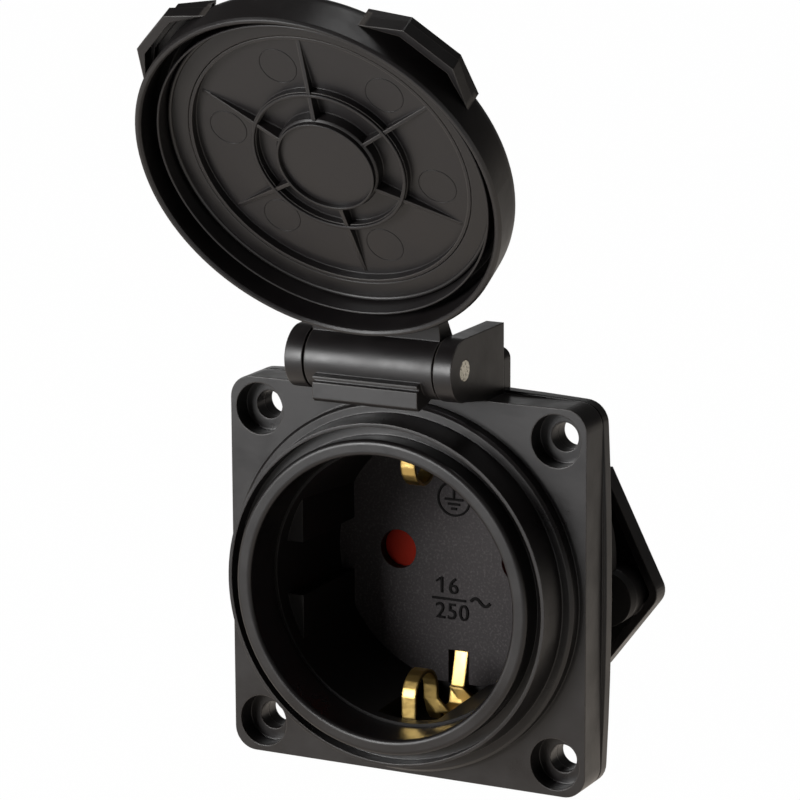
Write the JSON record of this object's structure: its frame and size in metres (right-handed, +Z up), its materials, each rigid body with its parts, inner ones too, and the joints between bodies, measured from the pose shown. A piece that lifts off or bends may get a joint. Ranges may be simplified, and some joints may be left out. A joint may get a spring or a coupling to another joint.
{
  "type": "panel power socket with hinged lid",
  "caption": "Black square-flanged panel power socket with a round recess, brass earth clips and a hinged round lid standing open.",
  "frame": {"origin": "centre of the flange's front face, between the fixing holes", "axes": "+X right, +Y into the panel, +Z up towards the hinge"},
  "size_m": [0.0552, 0.077, 0.112],
  "materials": {
    "black_plastic": "moulded satin",
    "insert_plastic": "fine grained",
    "red_plastic": "smooth",
    "black_rubber": "dull",
    "brass": "bright drawn",
    "steel": "plated"
  },
  "bodies": {
    "socket": {"housing": "black_plastic", "flange_gasket": "black_rubber", "hinge_pin": "steel", "socket_insert": "insert_plastic", "shutter_spring": "steel", "contact_carrier": "insert_plastic", "contact_left": "brass", "contact_right": "brass", "contact_clip_left": "steel", "contact_clip_right": "steel", "earth_clip_top": "brass", "earth_clip_bottom": "brass", "earth_strap": "brass", "terminal_screw_left": "steel", "terminal_screw_right": "steel", "terminal_screw_earth": "steel", "clamp_plate_left": "steel", "clamp_plate_right": "steel", "clamp_plate_earth": "steel", "carrier_screws": "steel", "rear_cap": "black_plastic", "cap_screws": "steel", "cable_grommet": "black_rubber"},
    "lid": {"lid": "black_plastic", "lid_seal": "black_rubber"},
    "shutter": {"shutter": "red_plastic"}
  },
  "joints": [
    {"name": "lid_hinge", "type": "hinge", "parent": "socket", "child": "lid", "pos_m": [0, -0.0069, 0.0325], "axis": [1, 0, 0], "range_deg": [0, 151]},
    {"name": "shutter_turn", "type": "hinge", "parent": "socket", "child": "shutter", "pos_m": [0, 0.0191, 0], "axis": [0, -1, 0], "range_deg": [0, 40], "stiffness_Nm_per_rad": 0.0004, "springref_deg": -11.46}
  ]
}
